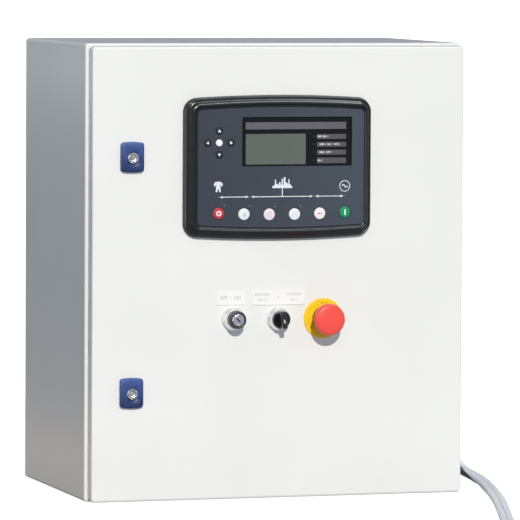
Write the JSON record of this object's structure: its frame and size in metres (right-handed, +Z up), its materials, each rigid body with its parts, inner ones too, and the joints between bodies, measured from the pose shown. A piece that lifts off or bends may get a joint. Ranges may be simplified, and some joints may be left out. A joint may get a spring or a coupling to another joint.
{
  "type": "genset controller",
  "caption": "Wall cabinet with a generator controller, key switch, selector and emergency stop on its lockable hinged door, and cables from a side gland.",
  "frame": {"origin": "middle of the cabinet's base", "axes": "+Z up, the door faces -Y, +X to the right as seen from the front"},
  "size_m": [0.6113, 0.8623, 0.58],
  "materials": {
    "grey_paint": "fine smooth powder coat",
    "galvanised": "galvanised",
    "zinc": "zinc plated",
    "chrome": "polished",
    "seal_rubber": "matte",
    "cable_sheath": "smooth",
    "blue_plastic": "satin",
    "black_plastic": "gloss",
    "black_case": "matte",
    "fascia_grey": "satin",
    "display": "polished",
    "white_plastic": "satin",
    "red_plastic": "satin",
    "green_plastic": "satin",
    "yellow_plastic": "satin",
    "grey_plastic": "matte"
  },
  "bodies": {
    "cabinet": {"cabinet_body": "grey_paint", "gland_plate": "galvanised", "mounting_plate": "galvanised", "din_rail": "galvanised", "circuit_breaker": "white_plastic", "control_relay": "grey_plastic", "battery_charger": "galvanised", "terminal_strip": "black_case", "cable_gland": "grey_plastic", "gland_dome_nut": "grey_plastic", "gland_locknut": "grey_plastic", "cable_outer": "cable_sheath", "cable_inner": "cable_sheath", "cable_outer_coil": "cable_sheath", "cable_inner_coil": "cable_sheath", "hinge_bracket_upper": "zinc", "hinge_bracket_lower": "zinc", "hinge_pin_upper": "zinc", "hinge_pin_lower": "zinc"},
    "door": {"door_panel": "grey_paint", "door_gasket": "seal_rubber", "hinge_leaf_upper": "zinc", "hinge_leaf_lower": "zinc", "lock_housing_upper": "blue_plastic", "lock_housing_lower": "blue_plastic", "lock_nut_upper": "zinc", "lock_nut_lower": "zinc", "controller_bezel": "black_plastic", "controller_fascia": "fascia_grey", "display_window": "display", "controller_case": "black_case", "key_switch_body": "chrome", "selector_body": "chrome", "estop_disc": "yellow_plastic", "estop_body": "black_plastic", "key_switch_legend": "white_plastic", "selector_legend": "white_plastic", "key_switch_contact_block": "grey_plastic", "selector_contact_block": "grey_plastic", "estop_contact_block": "grey_plastic"},
    "lock_upper_insert": {"lock_insert_upper": "chrome", "lock_cam_upper": "zinc"},
    "lock_lower_insert": {"lock_insert_lower": "chrome", "lock_cam_lower": "zinc"},
    "key_barrel": {"key_switch_barrel": "chrome"},
    "selector_handle": {"selector_knob": "black_plastic"},
    "estop_stem": {"estop_plunger": "black_plastic"},
    "estop_mushroom": {"estop_head": "red_plastic"},
    "breaker_lever": {"breaker_toggle": "black_plastic"},
    "key_stop_cap": {"key_stop": "red_plastic"},
    "key_manual_cap": {"key_manual": "white_plastic"},
    "key_test_cap": {"key_test": "white_plastic"},
    "key_auto_cap": {"key_auto": "white_plastic"},
    "key_mute_cap": {"key_mute": "white_plastic"},
    "key_start_cap": {"key_start": "green_plastic"},
    "key_up_cap": {"key_up": "fascia_grey"},
    "key_down_cap": {"key_down": "fascia_grey"},
    "key_left_cap": {"key_left": "fascia_grey"},
    "key_right_cap": {"key_right": "fascia_grey"},
    "key_enter_cap": {"key_enter": "white_plastic"}
  },
  "joints": [
    {"name": "door_hinge", "type": "hinge", "parent": "cabinet", "child": "door", "pos_m": [0.241, -0.163, 0.29], "axis": [0, 0, 1], "range_deg": [0, 75]},
    {"name": "lock_upper", "type": "hinge", "parent": "door", "child": "lock_upper_insert", "pos_m": [-0.1944, -0.17, 0.436], "axis": [0, 1, 0], "range_deg": [0, 90]},
    {"name": "lock_lower", "type": "hinge", "parent": "door", "child": "lock_lower_insert", "pos_m": [-0.1944, -0.17, 0.138], "axis": [0, 1, 0], "range_deg": [0, 90]},
    {"name": "key_switch", "type": "hinge", "parent": "door", "child": "key_barrel", "pos_m": [-0.0605, -0.17, 0.2306], "axis": [0, 1, 0], "range_deg": [0, 90]},
    {"name": "selector", "type": "hinge", "parent": "door", "child": "selector_handle", "pos_m": [-0.0005, -0.17, 0.2296], "axis": [0, 1, 0], "range_deg": [-35, 55]},
    {"name": "estop_push", "type": "slide", "parent": "door", "child": "estop_stem", "axis": [0, 1, 0], "range_m": [0, 0.006]},
    {"name": "estop_twist", "type": "hinge", "parent": "estop_stem", "child": "estop_mushroom", "pos_m": [0.059, -0.17, 0.2296], "axis": [0, 1, 0], "range_deg": [0, 45]},
    {"name": "breaker_toggle", "type": "hinge", "parent": "cabinet", "child": "breaker_lever", "pos_m": [-0.09, 0.0569, 0.36], "axis": [1, 0, 0], "range_deg": [0, 70]},
    {"name": "key_stop", "type": "slide", "parent": "door", "child": "key_stop_cap", "axis": [0, 1, 0], "range_m": [0, 0.0008], "stiffness_N_per_m": 900},
    {"name": "key_manual", "type": "slide", "parent": "door", "child": "key_manual_cap", "axis": [0, 1, 0], "range_m": [0, 0.0008], "stiffness_N_per_m": 900},
    {"name": "key_test", "type": "slide", "parent": "door", "child": "key_test_cap", "axis": [0, 1, 0], "range_m": [0, 0.0008], "stiffness_N_per_m": 900},
    {"name": "key_auto", "type": "slide", "parent": "door", "child": "key_auto_cap", "axis": [0, 1, 0], "range_m": [0, 0.0008], "stiffness_N_per_m": 900},
    {"name": "key_mute", "type": "slide", "parent": "door", "child": "key_mute_cap", "axis": [0, 1, 0], "range_m": [0, 0.0008], "stiffness_N_per_m": 900},
    {"name": "key_start", "type": "slide", "parent": "door", "child": "key_start_cap", "axis": [0, 1, 0], "range_m": [0, 0.0008], "stiffness_N_per_m": 900},
    {"name": "key_up", "type": "slide", "parent": "door", "child": "key_up_cap", "axis": [0, 1, 0], "range_m": [0, 0.0008], "stiffness_N_per_m": 900},
    {"name": "key_down", "type": "slide", "parent": "door", "child": "key_down_cap", "axis": [0, 1, 0], "range_m": [0, 0.0008], "stiffness_N_per_m": 900},
    {"name": "key_left", "type": "slide", "parent": "door", "child": "key_left_cap", "axis": [0, 1, 0], "range_m": [0, 0.0008], "stiffness_N_per_m": 900},
    {"name": "key_right", "type": "slide", "parent": "door", "child": "key_right_cap", "axis": [0, 1, 0], "range_m": [0, 0.0008], "stiffness_N_per_m": 900},
    {"name": "key_enter", "type": "slide", "parent": "door", "child": "key_enter_cap", "axis": [0, 1, 0], "range_m": [0, 0.0008], "stiffness_N_per_m": 900}
  ]
}
